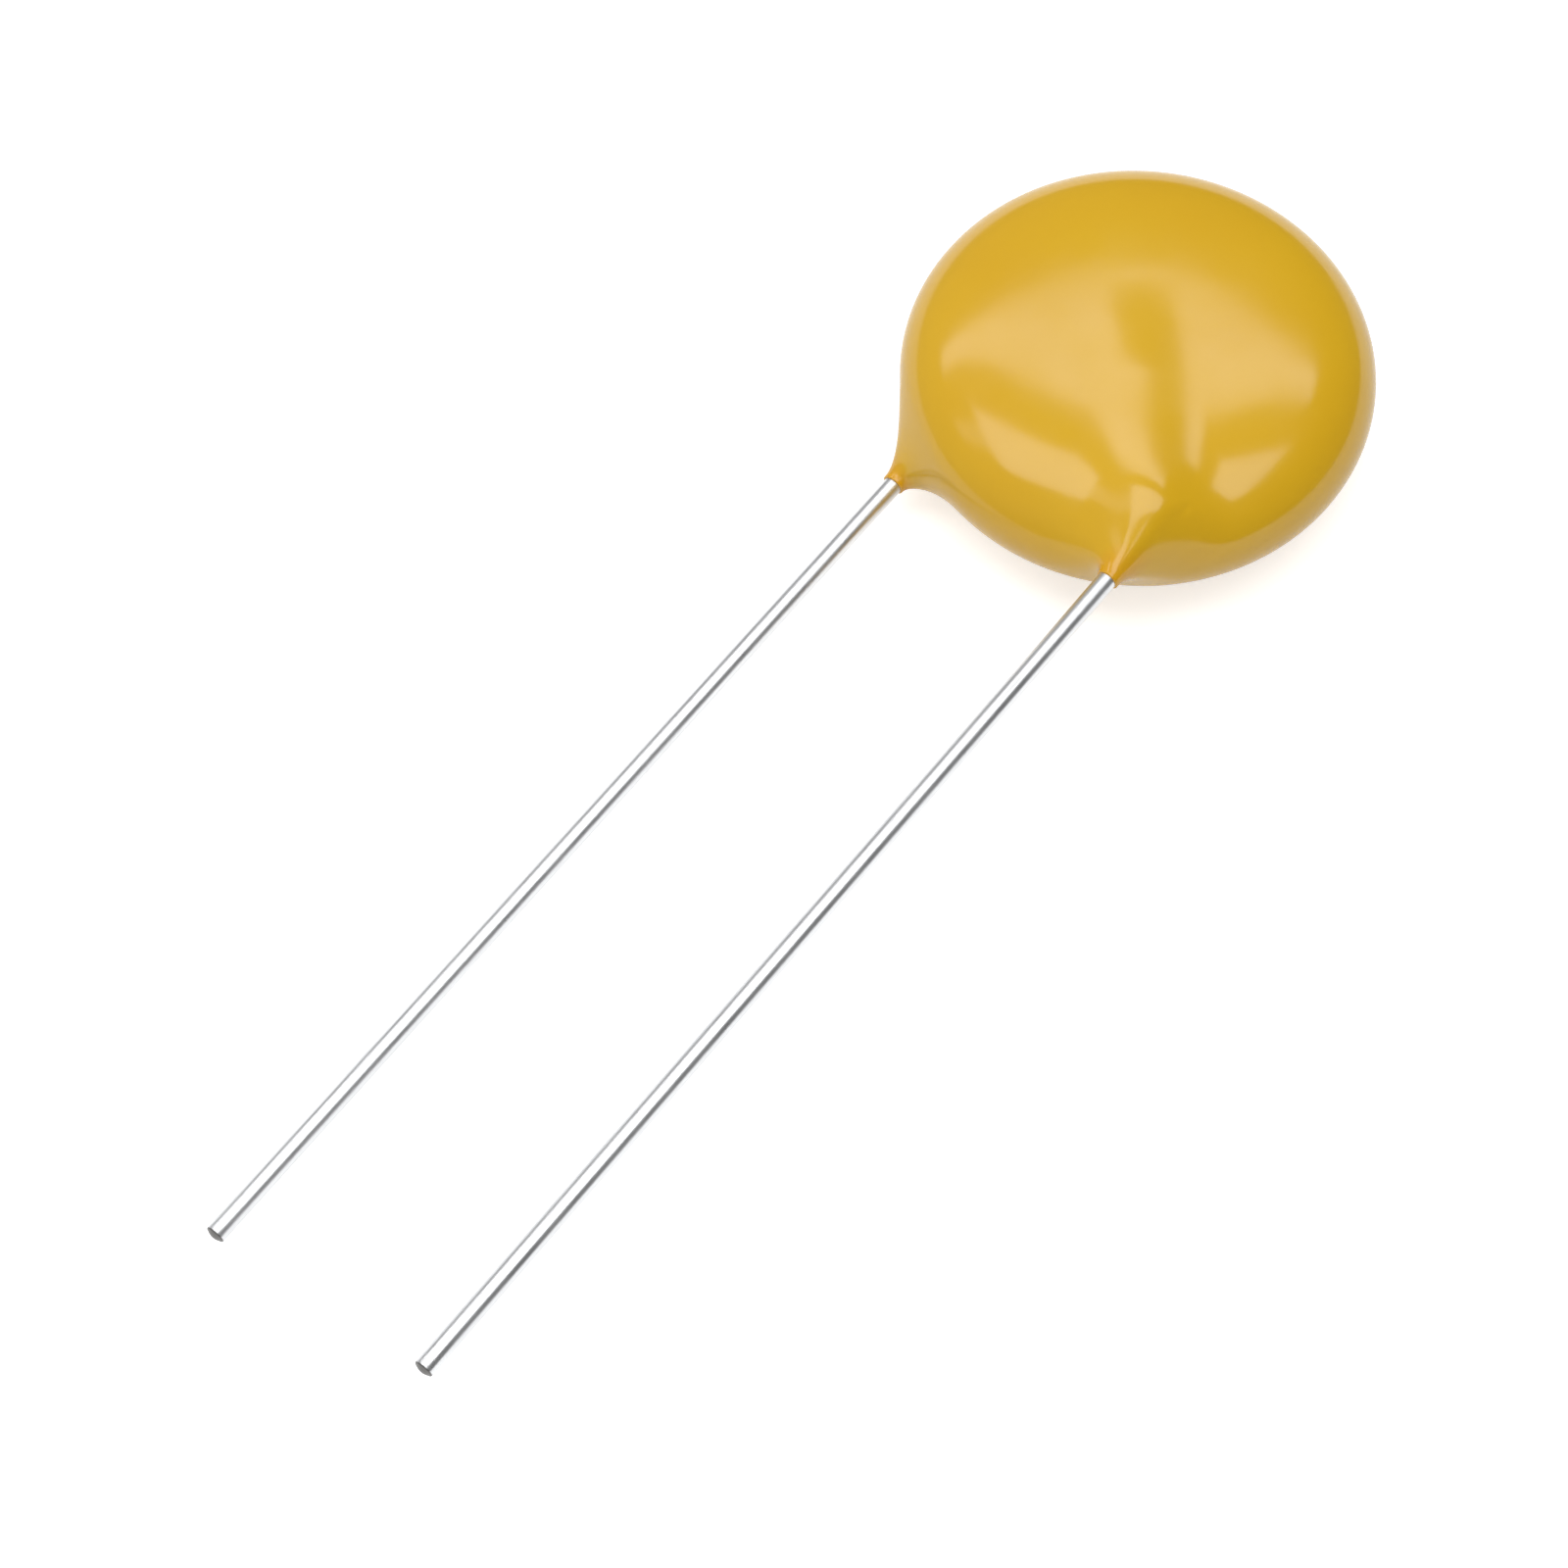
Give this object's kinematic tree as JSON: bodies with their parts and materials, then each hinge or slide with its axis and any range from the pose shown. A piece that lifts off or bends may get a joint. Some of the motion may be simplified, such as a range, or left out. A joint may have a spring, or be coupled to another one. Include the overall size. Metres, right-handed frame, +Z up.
{
  "type": "metal oxide varistor",
  "caption": "Flat round varistor: a ceramic disc dip coated in ochre epoxy, with straight round wire leads soldered to both faces and run out side by side.",
  "frame": {"origin": "middle of the whole part's box, on the surface that the part lies on", "axes": "+Z up through the flat disc; the leads run towards -Y from the disc; X is across the leads, with the front lead at +X"},
  "size_m": [0.0144, 0.0454, 0.0051],
  "materials": {
    "epoxy_coating": "gloss",
    "zinc_oxide_ceramic": "matte",
    "fired_silver": "satin",
    "solder": "satin",
    "tinned_wire": "gloss"
  },
  "bodies": {
    "root": {"epoxy_coating": "epoxy_coating", "varistor_disc": "zinc_oxide_ceramic", "front_electrode": "fired_silver", "back_electrode": "fired_silver", "front_solder_joint": "solder", "back_solder_joint": "solder", "front_lead": "tinned_wire", "back_lead": "tinned_wire"}
  },
  "joints": []
}
